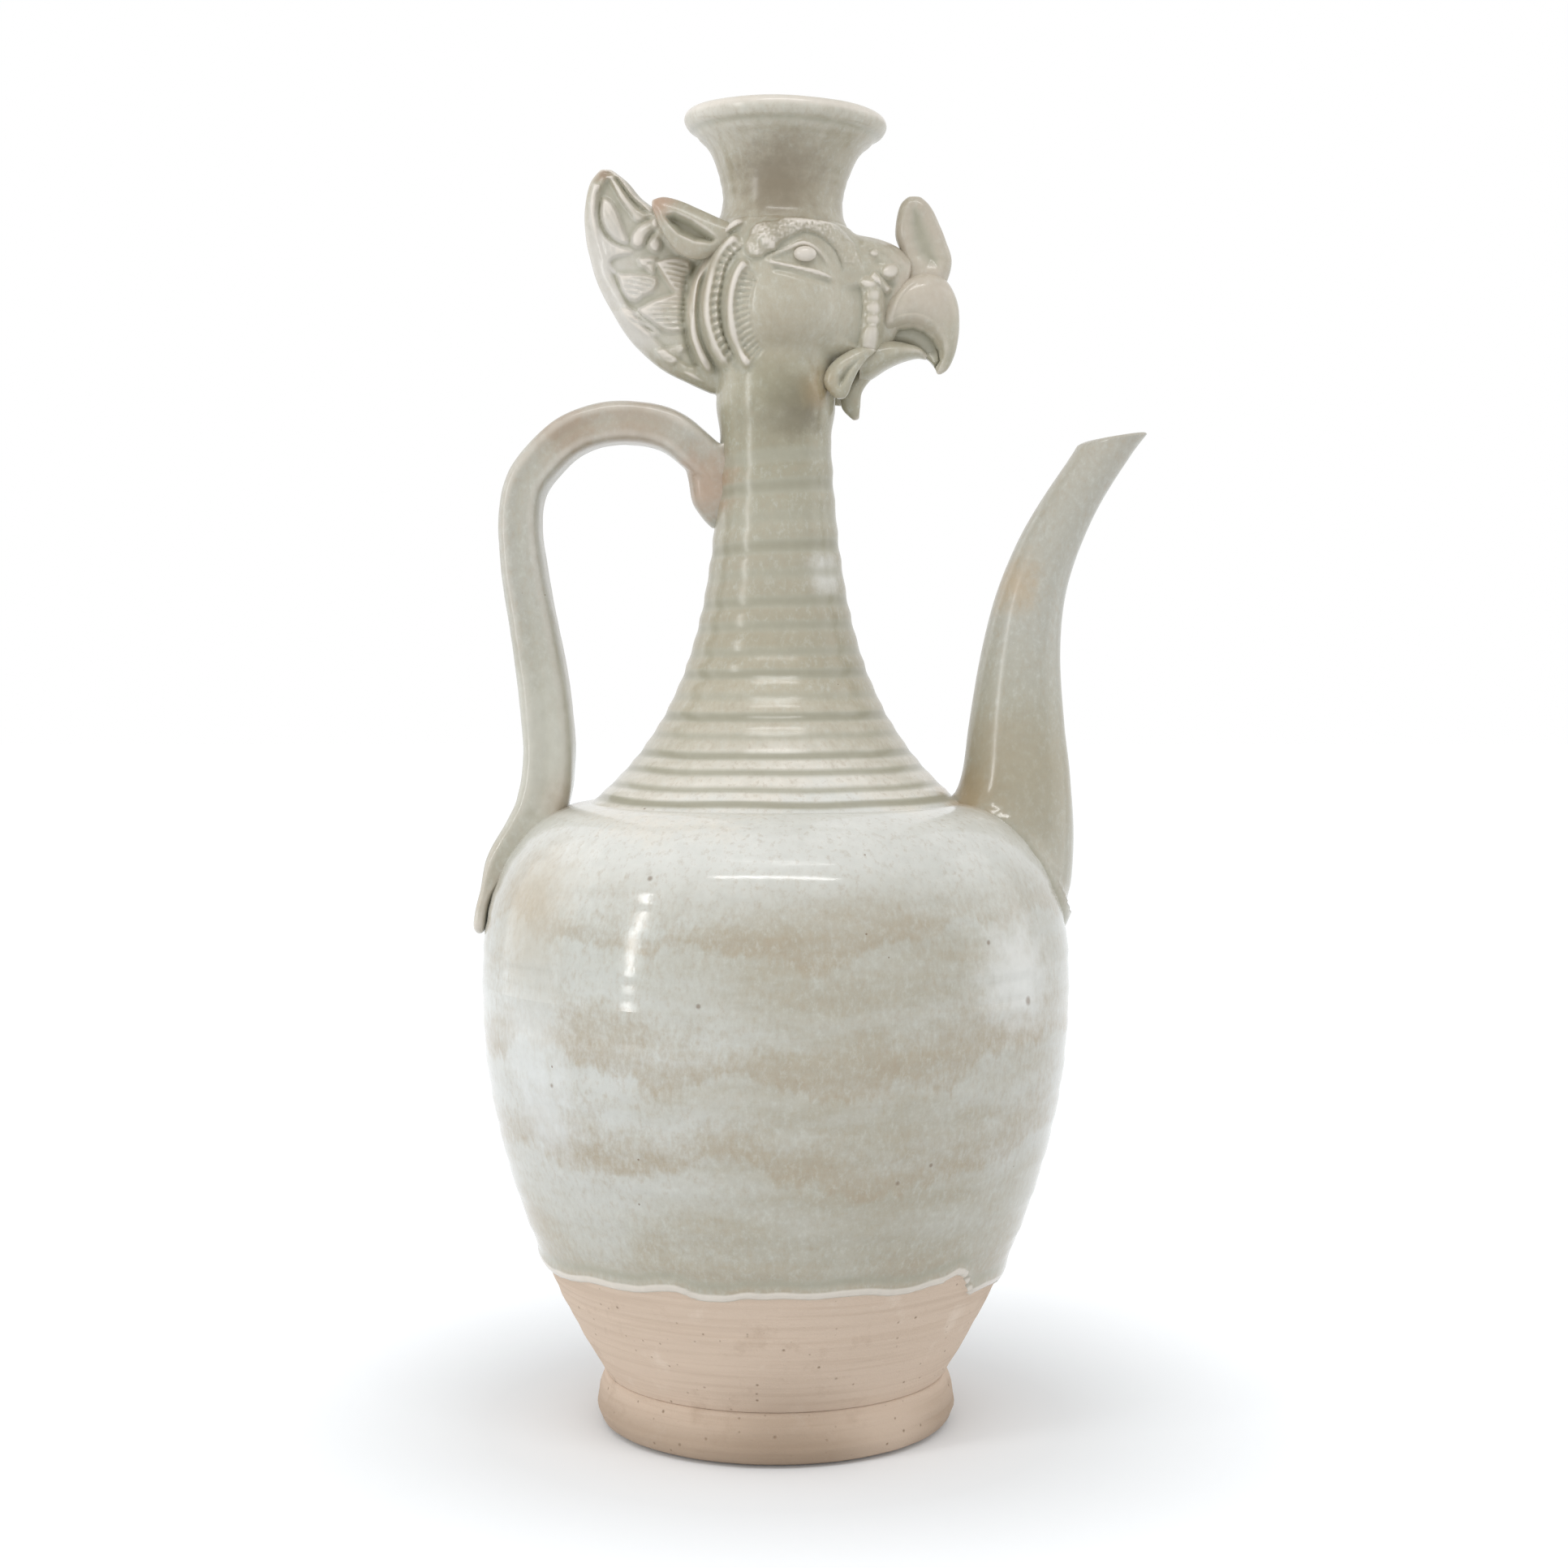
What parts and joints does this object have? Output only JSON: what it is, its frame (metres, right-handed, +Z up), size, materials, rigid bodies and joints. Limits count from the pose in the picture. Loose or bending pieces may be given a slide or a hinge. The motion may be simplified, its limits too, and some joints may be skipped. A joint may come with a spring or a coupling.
{
  "type": "ewer",
  "caption": "Glazed stoneware ewer with a ribbed neck, a carved phoenix head under a flared mouth, a strap handle and a curved spout.",
  "frame": {"origin": "on the vessel's axis, at the level that the foot rests on; the shallow recess under the foot is centred on it", "axes": "+Z up along the vessel's axis, +X towards the spout and the beak, the handle on -X, +Y away from the viewer of the picture"},
  "size_m": [0.1948, 0.1704, 0.3795],
  "materials": {
    "celadon_glaze": "glossy bluish-white glaze with beige clouds and iron specks",
    "bare_clay": "unglazed buff stoneware, matt and slightly rough"
  },
  "bodies": {
    "root": {"head": "celadon_glaze", "mouth_cup": "celadon_glaze", "upper_beak": "celadon_glaze", "lower_beak": "celadon_glaze", "beak_comb": "celadon_glaze", "beard": "celadon_glaze", "crest": "celadon_glaze", "ear_left": "celadon_glaze", "ear_right": "celadon_glaze", "wattle_left": "celadon_glaze", "wattle_right": "celadon_glaze", "eye_left": "celadon_glaze", "eye_right": "celadon_glaze", "eyelids_left": "celadon_glaze", "eyelids_right": "celadon_glaze", "brow_left": "celadon_glaze", "brow_right": "celadon_glaze", "bead_row_left": "celadon_glaze", "bead_row_right": "celadon_glaze", "nostril_left": "celadon_glaze", "nostril_right": "celadon_glaze", "ruff_outer_left": "celadon_glaze", "ruff_outer_right": "celadon_glaze", "ruff_middle_left": "celadon_glaze", "ruff_middle_right": "celadon_glaze", "ruff_inner_left": "celadon_glaze", "ruff_inner_right": "celadon_glaze", "foot_ring": "bare_clay", "lower_body": "celadon_glaze", "upper_body": "celadon_glaze", "neck": "celadon_glaze", "spout": "celadon_glaze", "handle": "celadon_glaze"}
  },
  "joints": []
}
